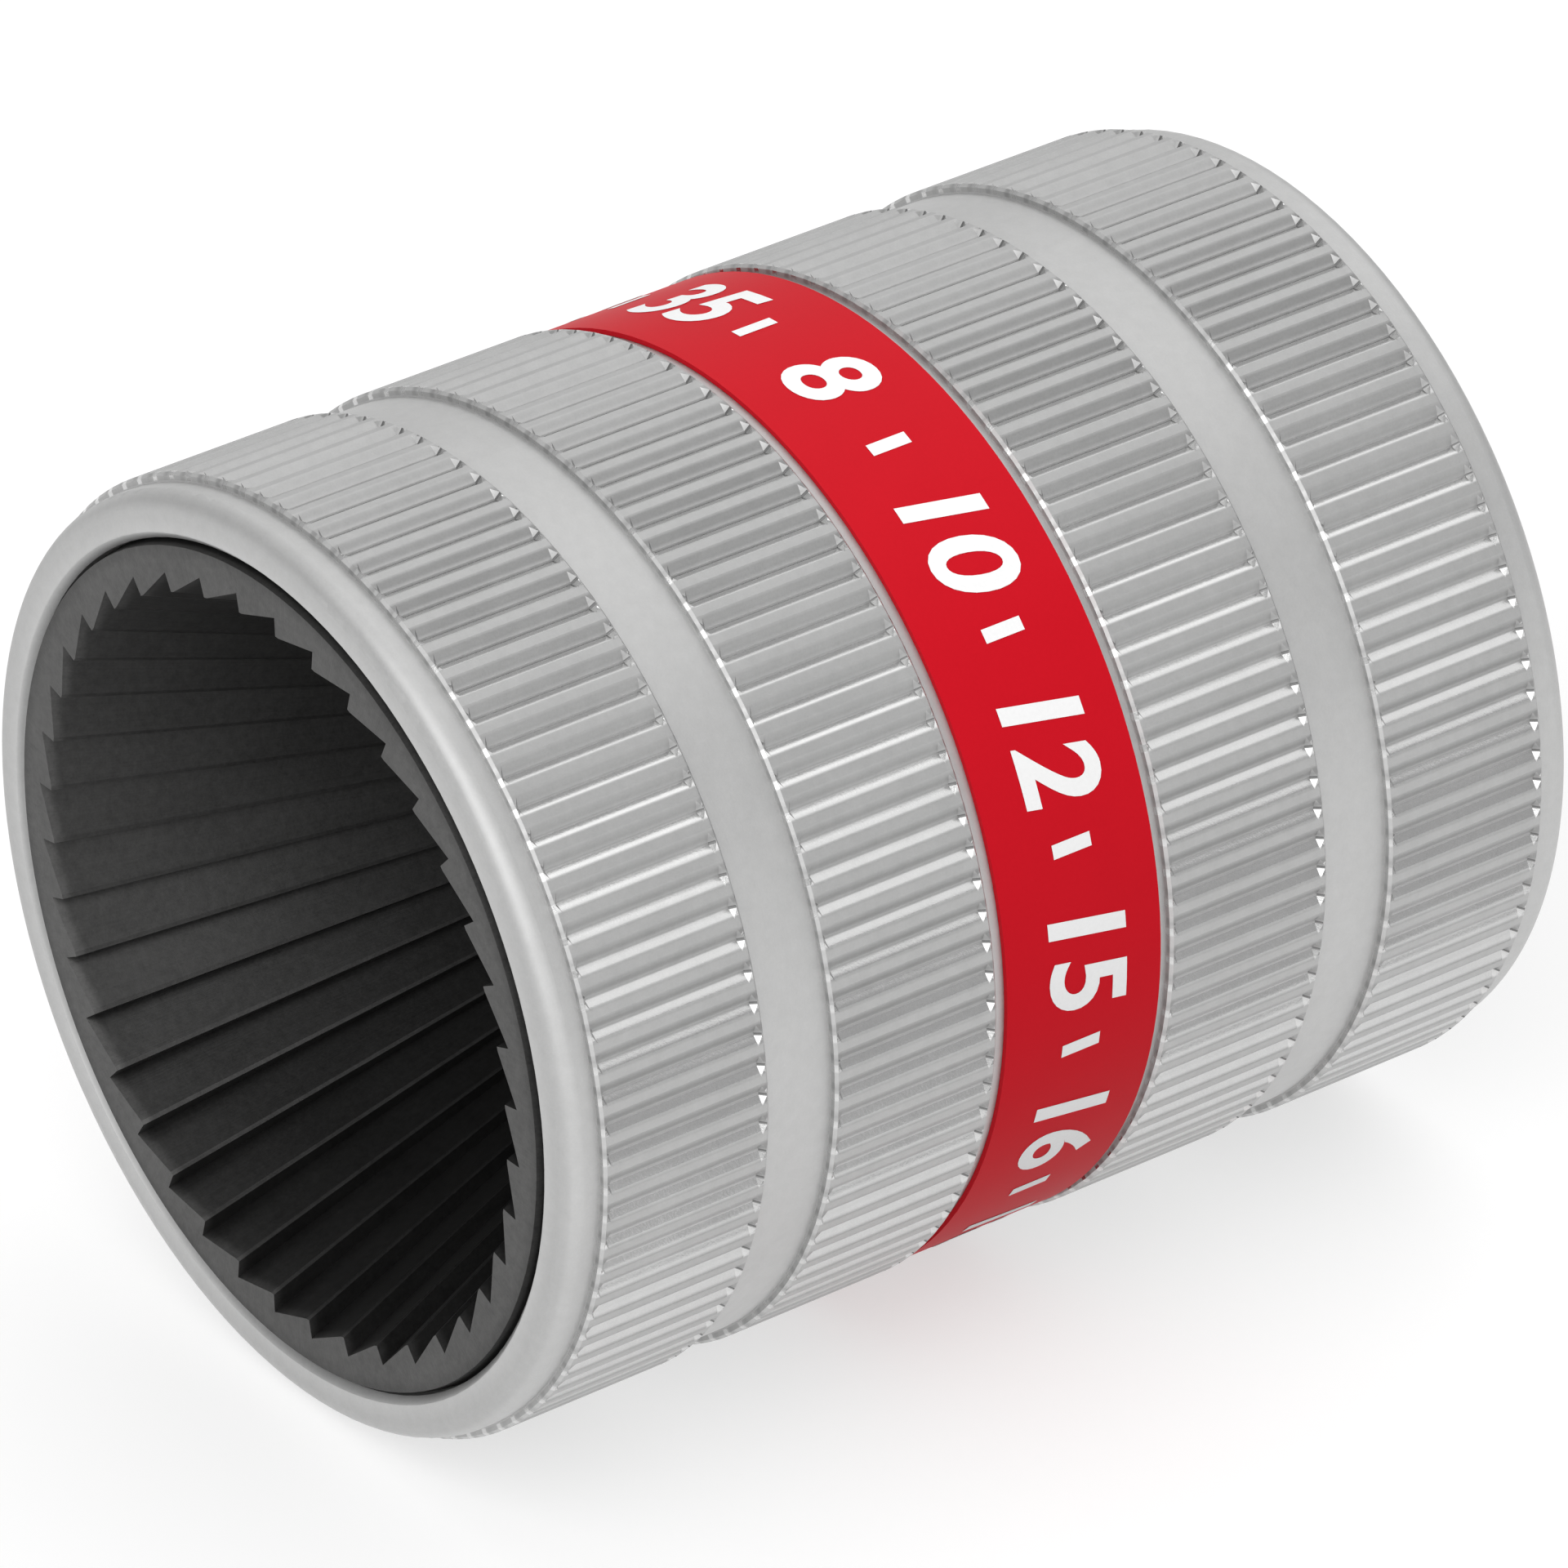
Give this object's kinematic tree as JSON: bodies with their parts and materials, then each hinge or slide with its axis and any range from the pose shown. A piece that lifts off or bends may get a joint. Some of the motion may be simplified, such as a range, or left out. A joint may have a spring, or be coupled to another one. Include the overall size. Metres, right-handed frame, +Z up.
{
  "type": "pipe deburrer",
  "caption": "Hand tool that deburrs cut pipe: a ribbed aluminium sleeve with a hollow toothed cone at the front for outside edges and a solid toothed cone at the rear for inside edges.",
  "frame": {"origin": "under the middle of the sleeve, on the surface that the tool lies on", "axes": "+Y along the tool's axis from the hollow cone at the front to the solid cone at the rear, +Z up, +X to the right seen from the front"},
  "size_m": [0.0474, 0.0588, 0.0475],
  "materials": {
    "sleeve_aluminium": "satin, fine blasted, natural anodised",
    "red_film": "red printed film with white numbers",
    "hardened_steel": "dark hardened, machined",
    "black_steel": "black oxide",
    "ground_steel": "ground"
  },
  "bodies": {
    "root": {"grip_sleeve": "sleeve_aluminium", "colour_band": "red_film", "outer_cutter": "hardened_steel", "inner_cutter": "hardened_steel", "clamp_screw": "black_steel", "lock_washer": "black_steel", "dowel_pins": "ground_steel"}
  },
  "joints": []
}
